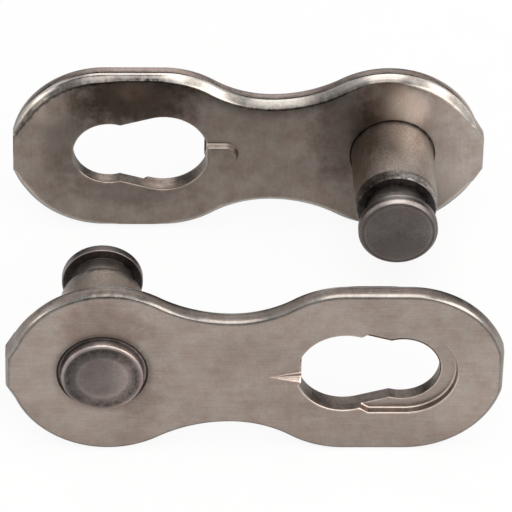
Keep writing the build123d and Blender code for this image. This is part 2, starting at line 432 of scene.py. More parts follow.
def outer_height(points):
    """Height of the outer face: its small bevel, the keyhole's edge, recess, ramp and countersink."""
    u, v = points.T
    depth = look_up(TUMBLED, -locate(points, outer_loop)[0])
    broken = EDGE_ROUND * (0.3 + 0.7 * facing_up(v))
    depth += rounding(locate(points, keyhole_outer_loop)[0], broken)
    into = locate(points, recess_loop)[0]
    floor_fillet = rounding(np.abs(into) - WALL_GAP, RECESS_FILLET)
    rim = rounding(np.abs(into) - WALL_GAP, RECESS_ROUND)
    depth += np.where(into < 0, recess_depth - floor_fillet, rim)
    depth += np.where((u < tab_end_x) & (u > tab_edge_x - RAMP_MARGIN), ramp_depth(u, v), 0)
    from_pin = np.hypot(u - pin_x, v)
    depth += np.clip(countersink_radius - from_pin, 0, countersink_radius - shank_radius)
    depth += DISH_DEPTH * (1 - smooth((from_pin - countersink_radius) / (DISH_RADIUS - countersink_radius)))
    return -thickness + depth


def rim_tone(gap):
    """A painted highlight along the broken edge of the keyhole, beside a darker sheared wall."""
    stops = np.append(BROKEN_EDGE[:, 0] * EDGE_ROUND, EDGE_ROUND + SUPPORT)
    return np.interp(gap, stops, np.append(BROKEN_EDGE[:, 1], 1.0))


def inner_tone(points):
    """Tone of the inner face: painted highlights and shade along its bevel and at the keyhole, and a ring of
    painted shade at the pin.
    """
    size, slim = bevel_size(points)
    u, v = points.T
    inset = -locate(points, outline_loop)[0]
    place = bevel_place(inset, size, slim)

    # Painted highlights and shade on the bevel, above the chain line and below it
    strip, outer_half, inner_half = (look_up(ALONG_COINED, u, column) for column in (1, 2, 3))
    golden = GOLDEN_TONE * between(u, *GOLDEN)
    outer_half = np.where(place < GOLDEN_WIDTH, np.maximum(outer_half, golden), outer_half)
    blend = smooth((place - BLEND_START) / BLEND_WIDTH)
    facet = outer_half * (1 - blend) + inner_half * blend
    along = np.where(place < STRIP + 0.002, strip, facet)
    tone = look_up(COINED, place, 2) * np.where(place < BEVEL_END, along, 1)
    tone = np.where(v < 0, look_up(COINED_BELOW, place), tone)

    # Painted shade in the crease and in a band beside the bevel
    crease = np.where(u < 0, SLOT_CREASE, PIN_CREASE)
    creased = np.maximum(between(u, *CREASE_AT_SLOT), between(u, *CREASE_AT_PIN)) * (v > 0)
    tone *= 1 - CREASE_SHADE * creased * np.exp(-((place - crease) / CREASE_WIDTH) ** 2)
    shaded_band = between(u, *SHADED_BAND) * (v > 0) * (1 - smooth((inset - SHADED_BAND_START) / SHADED_BAND_WIDTH))
    tone *= 1 - SHADED_BAND_DARKNESS * shaded_band * (place >= SHADED_BAND_PLACE)

    tone *= rim_tone(locate(points, keyhole_loop)[0])
    # Painted shade in a ring where the pin meets the face
    from_pin = np.hypot(u - pin_x, v)
    return tone * (1 - SEAT_SHADE * (1 - smooth((from_pin - SEAT_RING_IN) / SEAT_SHADE_WIDTH)))


def outer_tone(points):
    """Tone of the outer face: painted highlights and shade at the keyhole, recess, small bevel, ramp and
    rivet.
    """
    u, v = points.T
    # Painted highlights along the keyhole's and the recess's edges and painted shade on the recess's wall,
    # strongest where they face up
    lit = 0.25 + 0.75 * facing_up(v)
    tone = 1 + (rim_tone(locate(points, keyhole_outer_loop)[0]) - 1) * lit
    tone *= 1 + (look_up(RECESS_RIM, np.abs(locate(points, recess_loop)[0])) - 1) * lit

    # The small bevel is painted darker, and a line of painted shade inside it shows along the upper side
    inset = -locate(points, outer_loop)[0]
    edge = look_up(ALONG_TUMBLED, u) * np.interp(inset, [0.085, 0.12], [1.0, 0.6])
    tone *= np.interp(inset, [0.125, 0.150], [1, 0]) * (edge - 1) + 1
    tone *= 1 - 0.4 * smooth(v) * look_up(TUMBLED_LINE, inset)

    # A painted highlight on the ramp's flank near the hole
    share = ramp_share(u)
    down = (tab_crease - v) / np.maximum((tab_crease - tab_flank) * share, TINY)
    near_hole = smooth(share / 0.6) * (u > tab_edge_x - RAMP_MARGIN)
    tone *= 1 + FLANK_HIGHLIGHT * near_hole * between(down, *FLANK)

    # Painted shade round the rivet, darker above it
    from_pin = np.hypot(u - pin_x, v)
    halo = 1 - smooth((from_pin - countersink_radius) / HALO_WIDTH)
    return tone * (1 - (HALO_BELOW + (HALO_ABOVE - HALO_BELOW) * smooth(0.5 + v / 3)) * halo)


def leaned(points):
    """Points of the outer side, moved so that the end of the pressed tab leans out over the hole."""
    u, v = points.T
    near_end = smooth(1 - (u - tab_edge_x) / 0.6) * (u > tab_edge_x - RAMP_MARGIN)
    share = smooth((0.66 - np.abs(v)) / 0.08) * near_end
    return np.column_stack((u - tab_lean * share, v))


def triangulate(loops, chains, holes):
    """Triangles between the first loop and the holes, with every loop and chain kept as edges."""
    points, edges = [], []
    runs = [(run, True) for run in loops] + [(run, False) for run in chains]
    for run, is_closed in runs:
        first = len(points)
        points.extend(Vector(p) for p in run)
        edges.extend((first + i, first + i + 1) for i in range(len(run) - 1))
        if is_closed:
            edges.append((first + len(run) - 1, first))
    found = delaunay_2d_cdt(points, edges, [], 0, TINY)
    flat = np.array([tuple(p) for p in found[0]])
    triangles = np.array([tuple(face) for face in found[2]])
    middle = flat[triangles].mean(axis=1)
    keep = locate(middle, loops[0])[0] < 0
    for hole in holes:
        keep &= locate(middle, hole)[0] > 0
    triangles = triangles[keep]
    a, b, c = (flat[triangles[:, i]] for i in range(3))
    turn = (b[:, 0] - a[:, 0]) * (c[:, 1] - a[:, 1]) - (b[:, 1] - a[:, 1]) * (c[:, 0] - a[:, 0])
    triangles[turn < 0] = triangles[turn < 0][:, ::-1]
    return flat, triangles[np.abs(turn) > 1e-12]


def rings(loop, distances):
    """The loop moved inwards by several distances."""
    return [moved_in(loop, distance) for distance in distances]


def ramp_lines():
    """Edges of the pressed ramp, with a support line beside each."""
    lip = tab_edge_x - 0.2
    reach = (tab_end_x - lip) / ramp_length
    lines = [line((lip, v), (tab_end_x, v), 0.1) for v in (
        tab_top + WALL_GAP, tab_top - WALL_GAP, tab_top + SUPPORT, tab_top - SUPPORT,
        *(tab_crease + WALL_GAP + RAMP_FILLET * s for s in RAMP_SHARES),
        *(tab_crease - WALL_GAP - RAMP_LIP * s for s in RAMP_SHARES))]
    for share in (-0.1, 0.0, 0.12, 0.3, 0.6, 0.9):
        foot = tab_flank + (tab_crease - tab_flank) * share
        start = (lip, tab_crease + (foot - tab_crease) * reach)
        lines.append(line(start, (tab_end_x, tab_crease - 0.004), 0.1))
    for offset in (-SUPPORT, 0.0, SUPPORT):
        root = tab_end_x + offset
        lines.append(line((root, tab_crease - 0.05), (root, tab_top + 0.05), 0.1))
    return lines


def on_loop(flat, loop):
    """Vertices that lie on a loop, in order along it, with their places in vertex numbers."""
    distance, place = locate(flat, loop)
    there = np.flatnonzero(np.abs(distance) < ON_LOOP)
    order = there[np.argsort(place[there])]
    return order, place[order]


def stitch(one, two, count):
    """Faces between two rings of vertices that follow the same loop, each given as (vertices, places)."""
    faces = []
    (a, at_a), (b, at_b) = one, two
    at_a, at_b = np.append(at_a, at_a[0] + count), np.append(at_b, at_b[0] + count)
    i = j = 0
    while i < len(a) or j < len(b):
        next_a = at_a[i + 1] if i < len(a) else np.inf
        next_b = at_b[j + 1] if j < len(b) else np.inf
        here = (a[i % len(a)], b[j % len(b)])
        if abs(next_a - next_b) < 1e-3:
            faces.append((here[0], a[(i + 1) % len(a)], b[(j + 1) % len(b)], here[1]))
            i, j = i + 1, j + 1
        elif next_a < next_b:
            faces.append((here[0], a[(i + 1) % len(a)], here[1]))
            i += 1
        else:
            faces.append((here[0], b[(j + 1) % len(b)], here[1]))
            j += 1
    return faces


def inner_face():
    """Flat vertices and triangles of the inner face."""
    size, slim = bevel_size(outline_loop)
    coined = [moved_in(outline_loop, bevel_reach(place, size, slim)) for place in COINED[1:, 0]]
    bump_steps = [bump_wall * s for s in (0.0, 0.12, 0.25, 0.42, 0.58, 0.75, 0.88, 1.0, 1.25)]
    seat = [circle(r) for r in np.linspace(SEAT_RING_IN, SEAT_RING_OUT, 5)]
    return triangulate(
        [outline_loop, keyhole_loop, pin_hole, *coined, *rings(outline_loop, INNER_FACE_RINGS),
         *rings(keyhole_loop, EDGE_STEPS), *rings(bump_loop, [-SUPPORT, *bump_steps]), *seat,
         circle(SEAT_RING_OUT + SUPPORT)],
        [], [keyhole_loop, pin_hole])


def outer_face():
    """Flat vertices and triangles of the outer face."""
    wall = [WALL_GAP + RECESS_ROUND * s for s in ROUND_SHARES]
    foot = [WALL_GAP + RECESS_FILLET * s for s in ROUND_SHARES]
    recess_steps = [*foot, foot[-1] + SUPPORT, *(-d for d in wall), -wall[-1] - SUPPORT]
    dish = [circle(r) for r in (
        countersink_radius - 0.01, countersink_radius, 1.91, 1.96, 2.03, 2.12, 2.24, 2.36,
        DISH_RADIUS, 2.5)]
    return triangulate(
        [outer_loop, keyhole_outer_loop, pin_hole, *rings(outer_loop, [*TUMBLED[1:, 0], *OUTER_FACE_RINGS]),
         *rings(keyhole_outer_loop, EDGE_STEPS), *rings(recess_loop, recess_steps), *dish],
        ramp_lines(), [keyhole_outer_loop, pin_hole])


def plate_mesh():
    """Vertices (u, v, h), faces, the finish of each face and the tone of each vertex, for one plate."""
    inner, inner_faces = inner_face()
    outer, outer_faces = outer_face()
    first_outer = len(inner)
    first_mid = first_outer + len(outer)
    middle = np.vstack((outline_loop, keyhole_loop))
    points = np.vstack((
        np.column_stack((inner, inner_height(inner))),
        np.column_stack((leaned(outer), outer_height(outer))),
        np.column_stack((middle, np.full(len(middle), -BURNISH_DEPTH))),
    ))
    wall_tone = np.repeat((EDGE_TONE, KEYHOLE_WALL_TONE), (len(outline_loop), len(keyhole_loop)))
    tone = np.concatenate((inner_tone(inner), outer_tone(outer), wall_tone))

    inner_middle = inner[inner_faces].mean(axis=1)
    inner_place = bevel_place(-locate(inner_middle, outline_loop)[0], *bevel_size(inner_middle))
    outer_in = -locate(outer[outer_faces].mean(axis=1), outer_loop)[0]
    faces = [tuple(face) for face in inner_faces]
    faces += [tuple(first_outer + face[::-1]) for face in outer_faces]
    finish = [BEVEL if place < BEVEL_FINISH_END else INNER for place in inner_place]
    finish += [BEVEL if inset < TUMBLED[-1, 0] else OUTER for inset in outer_in]

    walls = []
    first = first_mid
    for loop, far_loop in ((outline_loop, outer_loop), (keyhole_loop, keyhole_outer_loop)):
        count = len(loop)
        near, far = on_loop(inner, loop), on_loop(outer, far_loop)
        half_way = first + np.arange(count), np.arange(count, dtype=float)
        levels = [near, half_way, (first_outer + far[0], far[1])]
        if loop is outline_loop:
            levels.reverse()
        for one, two in zip(levels, levels[1:]):
            walls += stitch(one, two, count)
        first += count
    near, far = on_loop(inner, pin_hole), on_loop(outer, pin_hole)
    walls += stitch(near, (first_outer + far[0], far[1]), PIN_HOLE_SIDES)
    faces += [tuple(int(i) for i in face) for face in walls]
    finish += [WALL] * len(walls)
    return points, faces, finish, tone


# ---------------- the pin
PIN_SEGMENTS = 160
CORNER_POINTS = 7
RIVET_OFFSET = 0.07  # the riveting leaves the pin's end a little below its axis
CREST_RADIUS = 1.56  # outside it the riveted end has a painted highlight, most on its upper outward side
CREST_HIGHLIGHT = 1.1
CREST_SIDE = 1.1  # radians


def rounded(corners):
    """A run of points (radius, height, tone) from corners (radius, height, size of rounding, tone)."""
    run = []
    for i, (r, h, size, tone) in enumerate(corners):
        here = np.array((r, h, tone))
        if not size:
            run.append(here)
            continue
        before = np.array(corners[i - 1])[[0, 1, 3]] - here
        after = np.array(corners[i + 1])[[0, 1, 3]] - here
        start = here + before / np.hypot(*before[:2]) * size
        end = here + after / np.hypot(*after[:2]) * size
        for t in np.linspace(0, 1, CORNER_POINTS):
            run.append((1 - t) ** 2 * start + 2 * t * (1 - t) * here + t**2 * end)
    return np.array(run)


def pin_profile():
    """The pin's section, from the middle of its riveted face to the middle of its tip."""
    face = -thickness - rivet_height
    floor = -thickness + groove_depth
    neck_end = body_length + neck_length
    return rounded([
        # Riveted end: a raised middle, a darker dip, a crest with a painted highlight and the groove round
        # it, in painted shade
        (0.0, face, 0, 0.86), (0.55, face, 0, 0.87), (0.90, face, 0, 0.93), (1.03, face, 0.03, 1.05),
        (1.11, face + 0.018, 0.03, 0.70), (1.20, face + 0.020, 0, 0.56), (1.42, face + 0.020, 0, 0.36),
        (1.53, face + 0.022, 0.03, 0.46), (1.60, face + 0.018, 0.02, 0.85),
        (rivet_radius, face + 0.03, 0.11, 1.35),
        (rivet_radius + 0.02, floor, 0.02, 0.60), (countersink_radius - groove_depth, floor, 0, 0.55),
        # Shank inside the plate, and the shoulder on the inner face, in painted shade where it meets the
        # plate
        (shank_radius, -thickness + 0.30, 0, 0.4), (shank_radius, -SEAT_RING_DEPTH, 0, 0.4),
        (pin_radius, -SEAT_RING_DEPTH, 0, 0.4), (pin_radius, 0.06, 0, 0.75), (pin_radius, 0.30, 0, 0.95),
        # Body, its worn end and the end's flat, with painted shade round the end
        (pin_radius, 1.2, 0, 1.0), (pin_radius, 2.4, 0, 1.0), (pin_radius, 3.35, 0, 1.05),
        (pin_radius, 3.52, 0.10, 1.05), (1.765, 3.80, 0.08, 0.62), (1.715, 3.935, 0.02, 0.36),
        (1.68, body_length, 0.02, 0.42), (1.60, body_length, 0, 0.40), (1.40, body_length, 0, 0.30),
        # Neck: painted shade at its root and painted light along it
        (neck_radius, body_length, 0.015, 0.22), (neck_radius, body_length + 0.12, 0, 0.8),
        (neck_radius, body_length + 0.35, 0, 1.5), (neck_radius, neck_end - 0.1, 0, 1.15),
        # Head: its back in painted shade, a painted highlight on its back edge, its side, the bevel and the
        # flat tip, its edge with a painted highlight
        (neck_radius, neck_end, 0.02, 0.5), (1.36, neck_end, 0, 0.42), (1.64, neck_end, 0, 0.52),
        (head_radius, neck_end, 0.055, 1.7), (head_radius, neck_end + 0.10, 0, 0.85),
        (head_radius, pin_length - 0.22, 0, 0.65), (head_radius, pin_length - 0.150, 0.04, 0.85),
        (1.575, pin_length - 0.004, 0.05, 1.0), (1.545, pin_length - 0.012, 0.012, 0.75),
        (1.49, pin_length - 0.012, 0.012, 0.8), (1.43, pin_length, 0.02, 1.25), (1.36, pin_length, 0, 1.0),
        (0.7, pin_length, 0, 0.95), (0.0, pin_length, 0, 0.92),
    ])


def pin_finish(radius, height):
    """Finish of a pin's face with its middle at a radius and a height."""
    if height < -thickness / 2:
        return RIVET
    if height < body_length - 0.46:
        return BODY
    if height < body_length - 0.01:
        return BODY_END
    if height < pin_length - 0.02 and radius < 1.5:
        return NECK
    return HEAD


def pin_mesh():
    """Vertices (u, v, h), faces, the finish of each face and the tone of each vertex, for one pin."""
    profile = pin_profile()
    rings_between = profile[1:-1]
    radius, height, ring_tone = (rings_between[:, i:i + 1] for i in range(3))
    turn = np.linspace(0, 2 * pi, PIN_SEGMENTS, endpoint=False)
    riveted = height < -thickness - 0.05
    across = radius * np.sin(turn) - RIVET_OFFSET * riveted
    sides = np.stack((pin_x + radius * np.cos(turn), across, height + 0 * turn), axis=-1)
    # Painted highlight on the riveted end's crest
    crest = (radius > CREST_RADIUS) & riveted
    crest_highlight = 1 + CREST_HIGHLIGHT * crest * np.clip(np.cos(turn - CREST_SIDE), 0, 1)
    tone = np.concatenate((profile[:1, 2], (ring_tone * crest_highlight).ravel(), profile[-1:, 2]))
    face_middle, tip_middle = (pin_x, -RIVET_OFFSET, profile[0][1]), (pin_x, 0, profile[-1][1])
    points = np.vstack((face_middle, sides.reshape(-1, 3), tip_middle))

    faces, finish = [], []
    last = len(points) - 1
    rows = len(rings_between)
    middles = (rings_between[:-1] + rings_between[1:]) / 2
    for k in range(PIN_SEGMENTS):
        after = (k + 1) % PIN_SEGMENTS
        faces.append((0, 1 + after, 1 + k))
        finish.append(RIVET)
        for row in range(rows - 1):
            low, high = 1 + row * PIN_SEGMENTS, 1 + (row + 1) * PIN_SEGMENTS
            faces.append((low + k, low + after, high + after, high + k))
            finish.append(pin_finish(*middles[row, :2]))
        top = 1 + (rows - 1) * PIN_SEGMENTS
        faces.append((top + k, top + after, last))
        finish.append(HEAD)
    return points, faces, finish, tone


# ---------------- materials
class Graph:
    """The nodes of a material or of the world, added one call at a time."""

    def __init__(self, owner):
        owner.use_nodes = True
        self.owner, self.tree = owner, owner.node_tree
        self.tree.nodes.clear()

    def add(self, kind, inputs=None, **settings):
        """A node with its settings, and a value or a link for each named or numbered input."""
        node = self.tree.nodes.new("ShaderNode" + kind)
        for key, value in settings.items():
            setattr(node, key, value)
        for key, value in (inputs or {}).items():
            if isinstance(value, bpy.types.NodeSocket):
                self.tree.links.new(value, node.inputs[key])
            else:
                node.inputs[key].default_value = value
        return node

    def out(self, kind, inputs=None, **settings):
        """The first output of a new node."""
        return self.add(kind, inputs, **settings).outputs[0]

    def math(self, operation, *values):
        return self.out("Math", dict(enumerate(values)), operation=operation)

    def spread(self, value, low, high, to_low, to_high, kind="LINEAR"):
        """A value from low to high, turned into one from to_low to to_high."""
        inputs = {"Value": value, "From Min": low, "From Max": high, "To Min": to_low, "To Max": to_high}
        return self.out("MapRange", inputs, interpolation_type=kind)

    def ramp(self, value, stops):
        """Colour of a value, from two stops, each (position, colour)."""
        node = self.add("ValToRGB", {0: value})
        for element, (position, colour) in zip(node.color_ramp.elements, stops):
            element.position = position
            element.color = (*colour, 1)
        return node.outputs[0]

    def noise(self, vector, scale, detail=3, roughness=0.5):
        inputs = {"Vector": vector, "Scale": scale, "Detail": detail, "Roughness": roughness}
        return self.add("TexNoise", inputs).outputs["Fac"]


def steel(name, dark, light, rough, grain, grain_bump, fine_bump=0.05, fine_scale=9.0, streaks=0.28,
          speckle=0.06, patches=(), ragged=0.5, tone_noise=0.25):
    """Bare steel: cloudy colour, a fine grain along one axis and a slightly uneven surface.

    patches are lighter or darker areas, most of them painted highlights, reflections and shade, each given
    in millimetres as (centre, size, tint), with ragged edges. The last argument is how uneven the painted
    highlights and shade come out that the tone attribute draws.
    """
    g = Graph(bpy.data.materials.new(name))
    place = g.add("TexCoord").outputs["Object"]
    mm = g.out("Mapping", {"Vector": place, "Scale": (PER_METRE,) * 3})
    along = g.out("Mapping", {"Vector": place, "Scale": tuple(PER_METRE * s for s in grain)})
    cloud = g.noise(mm, 0.55, 4, 0.6)
    mottle = g.noise(mm, 2.3, 5, 0.65)
    streak = g.noise(along, 3.0, 5, 0.65)
    fine = g.noise(mm, fine_scale, 4, 0.7)

    # Colour: clouds, mottles and streaks, a slight change of hue, and specks
    mixed = g.math("MULTIPLY", cloud, 0.60 - streaks / 2)
    mixed = g.math("MULTIPLY_ADD", mottle, 0.40 - streaks / 2, mixed)
    mixed = g.math("MULTIPLY_ADD", streak, streaks, mixed)
    colour = g.ramp(mixed, [(0.35, dark), (0.65, light)])
    hue = g.ramp(g.noise(mm, 1.1, 3, 0.6), [(0.38, (1.02, 0.99, 0.985)), (0.62, (0.98, 1.01, 1.015))])
    colour = g.out("VectorMath", {0: colour, 1: hue}, operation="MULTIPLY")
    specks = g.spread(fine, 0.35, 0.65, 1 - speckle, 1 + speckle)
    colour = g.out("VectorMath", {0: colour, "Scale": specks}, operation="SCALE")

    # Patches, most of them painted highlights, reflections and shade
    for centre, size, tint in patches:
        local = g.out("Mapping", {"Vector": place, "Location": tuple(-c / s for c, s in zip(centre, size)),
                                  "Scale": tuple(PER_METRE / s for s in size)})
        away = g.add("VectorMath", {0: local}, operation="LENGTH").outputs["Value"]
        away = g.math("MULTIPLY_ADD", g.math("ADD", mottle, cloud), ragged, away)
        mask = g.spread(away, 0.35 + ragged, 1.0 + ragged, 1, 0, "SMOOTHSTEP")
        inputs = {"Factor": mask, 6: colour, 7: (*tint, 1)}
        colour = g.add("Mix", inputs, data_type="RGBA", blend_type="MULTIPLY").outputs[2]

    # Painted highlights and shade that the tone attribute draws
    line = g.math("SUBTRACT", g.add("Attribute", attribute_name="tone").outputs["Fac"], 1.0)
    uneven = g.spread(g.noise(mm, 3.5, 4, 0.7), 0.35, 0.65, 1 - tone_noise, 1 + tone_noise)
    tone = g.math("MAXIMUM", g.math("MULTIPLY_ADD", line, uneven, 1.0), 0.05)
    colour = g.out("VectorMath", {0: colour, "Scale": tone}, operation="SCALE")

    rough_value = g.spread(g.math("ADD", mottle, streak), 0.75, 1.25, *rough)
    grained = g.out("Bump", {"Strength": grain_bump, "Distance": 0.02 * MM, "Height": streak})
    pitted = g.out("Bump", {"Strength": fine_bump, "Distance": 0.03 * MM, "Height": fine, "Normal": grained})
    shader = g.out("BsdfPrincipled", {"Base Color": colour, "Metallic": 1.0, "Roughness": rough_value,
                                      "Normal": pitted})
    g.add("OutputMaterial", {"Surface": shader})
    return g.owner


# Finishes of a plate and of a pin, in the order of the material slots
OUTER, INNER, BEVEL, WALL = range(4)
BODY, BODY_END, NECK, HEAD, RIVET = range(5)

# How much finer the grain is along X, Y and Z
LENGTHWISE = (0.22, 5.0, 5.0)
UPRIGHT = (4.0, 4.0, 0.35)
THROUGH = (5.0, 0.5, 5.0)
TURNED = (1.0, 14.0, 1.0)
EVEN = (3.0, 3.0, 3.0)

# Lighter and darker patches, most of them painted light and shade, in the frame's millimetres: (centre,
# size, tint)
INNER_PATCHES = [
    ((-4.95, 7.1, 7.25), (3.7, 4.0, 2.5), (0.33, 0.29, 0.27)),  # painted shade over the slot
    ((-5.1, 7.1, 7.5), (1.0, 4.0, 0.7), (1.45, 1.42, 1.38)),  # lighter spot in that shade
    ((-8.0, 7.1, 4.9), (1.6, 4.0, 3.4), (0.74, 0.73, 0.72)),  # beside the seat
    ((-9.9, 7.1, 5.2), (1.8, 4.0, 3.6), (1.28, 1.27, 1.27)),  # slot end
    ((9.9, 7.1, 5.2), (4.0, 4.0, 5.2), (1.85, 1.90, 1.97)),  # painted reflection, bright beside the pin
    ((4.5, 7.1, 5.2), (2.2, 4.0, 3.6), (0.58, 0.56, 0.55)),  # painted shade on its other side
    ((6.9, 7.1, 6.7), (1.3, 4.0, 1.4), (1.9, 1.98, 2.05)),  # painted reflection of the pin, bright over it
    ((-4.9, 7.1, 2.1), (3.4, 4.0, 1.3), (0.80, 0.79, 0.79)),  # below the slot
    ((-8.6, 7.1, 6.6), (1.2, 4.0, 1.4), (1.50, 1.50, 1.50)),  # over the slot end
]
OUTER_PATCHES = [
    ((-6.35, -8.0, 6.6), (2.6, 2.0, 1.6), (0.80, 0.76, 0.74)),  # painted shade over the rivet
    ((-5.0, -8.0, 3.4), (1.6, 2.0, 2.4), (0.82, 0.80, 0.79)),  # beside the rivet
    ((9.2, -8.0, 3.6), (2.0, 2.0, 3.6), (1.10, 1.10, 1.10)),  # slot end
]
BEVEL_PATCHES = [
    ((-2.0, -6.95, 7.9), (13.0, 0.45, 2.6), (2.1, 2.1, 2.1)),  # painted highlight on the upper edge of the front half, inner side
]
WALL_PATCHES = [
    ((-1.6, 7.6, 8.2), (10.0, 3.0, 3.2), (1.65, 1.60, 1.62)),  # painted light on the upper edge of the rear half
    ((9.0, 7.6, 6.9), (3.0, 3.0, 3.0), (1.9, 1.85, 1.8)),  # and its pin end
    ((-7.4, -7.6, 7.4), (3.6, 1.2, 2.6), (1.35, 1.36, 1.38)),  # painted highlight on the edge of the front half, over the rivet
    ((-6.35, 7.85, 2.6), (0.8, 1.0, 0.9), (2.0, 1.95, 1.9)),  # painted light on the floor of the rear slot's seat
    ((-4.0, 7.85, 2.2), (1.1, 1.0, 1.0), (2.4, 2.35, 2.3)),  # and of its entry
]
BODY_PATCHES = [
    ((7.65, 5.2, 5.6), (1.4, 3.2, 1.7), (1.70, 1.78, 1.86)),  # painted light on the rear pin, outer side
    ((4.9, 5.6, 5.0), (1.0, 2.6, 1.7), (0.80, 0.74, 0.69)),  # painted shade on its inner side
    ((-5.2, -4.6, 5.3), (0.9, 2.2, 1.2), (1.55, 1.52, 1.48)),  # painted light on the front pin
]
BODY_END_PATCHES = [
    ((7.5, 3.15, 5.4), (1.6, 0.45, 1.9), (3.2, 3.2, 3.3)),  # painted highlight on the rear pin, outer side
    ((5.4, 3.3, 5.6), (1.2, 1.2, 1.3), (0.42, 0.38, 0.36)),  # painted shade on its inner side
    ((-6.35, -3.3, 5.7), (1.5, 0.9, 1.6), (1.7, 1.6, 1.5)),  # painted highlight on the front pin
]
RIVET_PATCHES = [
    ((-4.7, -8.1, 3.8), (1.7, 2.0, 2.6), (1.8, 1.76, 1.76)),  # painted highlight on the front rivet, inner side
    ((-7.4, -8.2, 5.2), (1.6, 2.0, 1.9), (0.82, 0.82, 0.84)),  # painted shade on its outer side
    ((-6.2, -8.2, 2.5), (2.2, 2.0, 0.9), (1.5, 1.45, 1.4)),  # painted highlight on the lower crest
]
HEAD_PATCHES = [
    ((6.6, 2.0, 5.8), (1.7, 0.35, 0.9), (1.9, 1.9, 1.9)),  # painted highlight on the back edge
    ((6.2, 1.59, 5.8), (1.5, 0.16, 0.75), (1.9, 1.9, 1.9)),  # painted highlight on the bevel of the tip
    ((6.35, 1.4, 2.6), (2.6, 1.0, 2.6), (0.78, 0.78, 0.78)),  # painted shade on the lower half of the tip
]

PLATE_FINISHES = [
    steel("steel_outer_face", (0.243, 0.199, 0.174), (0.392, 0.333, 0.299), rough=(0.30, 0.44),
          grain=LENGTHWISE, grain_bump=0.10, patches=OUTER_PATCHES),
    # The inner face's steel is darker than the outer face's: painted shade between the two halves
    steel("steel_inner_face", (0.160, 0.129, 0.110), (0.280, 0.240, 0.213), rough=(0.30, 0.44),
          grain=UPRIGHT, grain_bump=0.06, streaks=0.16, patches=INNER_PATCHES),
    steel("steel_bevel", (0.26, 0.237, 0.212), (0.40, 0.366, 0.343), rough=(0.17, 0.27),
          grain=LENGTHWISE, grain_bump=0.04, patches=BEVEL_PATCHES, ragged=0.1, tone_noise=0.2),
    steel("steel_sheared_edge", (0.20, 0.16, 0.14), (0.40, 0.335, 0.30), rough=(0.34, 0.50),
          grain=THROUGH, grain_bump=0.25, fine_bump=0.15, patches=WALL_PATCHES),
]
PIN_FINISHES = [
    steel("pin_body", (0.200, 0.165, 0.140), (0.345, 0.295, 0.258), rough=(0.34, 0.48),
          grain=THROUGH, grain_bump=0.10, fine_bump=0.6, fine_scale=12.0, speckle=0.22,
          patches=BODY_PATCHES),
    steel("pin_body_end", (0.07, 0.058, 0.052), (0.32, 0.285, 0.26), rough=(0.30, 0.48),
          grain=(2.0, 2.0, 2.0), grain_bump=0.2, fine_bump=0.7, speckle=0.3,
          patches=BODY_END_PATCHES, tone_noise=0.6),
    steel("pin_neck", (0.09, 0.077, 0.070), (0.19, 0.17, 0.156), rough=(0.34, 0.48),
          grain=TURNED, grain_bump=0.3),
    steel("pin_head", (0.120, 0.101, 0.095), (0.195, 0.172, 0.165), rough=(0.30, 0.42),
          grain=EVEN, grain_bump=0.1, fine_bump=0.2, fine_scale=12.0, speckle=0.08, patches=HEAD_PATCHES),
    steel("pin_riveted_end", (0.125, 0.105, 0.098), (0.225, 0.195, 0.185), rough=(0.30, 0.44),
          grain=EVEN, grain_bump=0.1, fine_bump=0.25, fine_scale=10.0, patches=RIVET_PATCHES, ragged=0.3),
]

# ---------------- the two halves
# Where each half's inner face lies in the frame, and which way its u and h point
HALVES = {"rear": (separation / 2, 1, -1), "front": (-separation / 2, -1, 1)}
SHARP_ANGLE = 24  # degrees


def in_frame(points, half):
    """Points (u, v, h) of a half, in millimetres, put into the frame in metres."""
    face_y, u_way, h_way = HALVES[half]
    u, v, h = points.T
    return np.column_stack((u_way * u, face_y + h_way * h, axis_height + v)) * MM


def add_object(name, data):
    thing = bpy.data.objects.new(name, data)
    scene.collection.objects.link(thing)
    return thing


def make_piece(name, half, parts, finishes):
    """One object from the vertices, faces, finishes and tones of a plate or a pin."""
    points, faces, finish, tone = parts
    mesh = bpy.data.meshes.new(name)
    mesh.from_pydata(in_frame(points, half).tolist(), [], faces)
    mesh.polygons.foreach_set("material_index", finish)
    for material in finishes:
        mesh.materials.append(material)
    mesh.attributes.new("tone", "FLOAT", "POINT").data.foreach_set("value", tone.astype(np.float32))
    mesh.shade_smooth()
    mesh.set_sharp_from_angle(angle=radians(SHARP_ANGLE))
    return add_object(name, mesh)


plate_parts, pin_parts = plate_mesh(), pin_mesh()
for half in HALVES:
    for kind, parts, finishes in (("plate", plate_parts, PLATE_FINISHES), ("pin", pin_parts, PIN_FINISHES)):
        piece = make_piece(f"{half}_{kind}_fine", half, parts, finishes)
        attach(piece, f"{half}_half")
        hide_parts(f"{half}_{kind}")

# ---------------- floor, world and lamps


def stage_card(name, corners, material):
    """A flat four-sided card, in metres, that isn't part of the object."""
    mesh = bpy.data.meshes.new(name)
    mesh.from_pydata(corners, [], [(0, 1, 2, 3)])
    mesh.materials.append(material)
    card = add_object(name, mesh)
    return card


CAMERA_WHITE, REFLECTED_WHITE = 0.90, 0.15  # white in the floor, as seen and as reflected


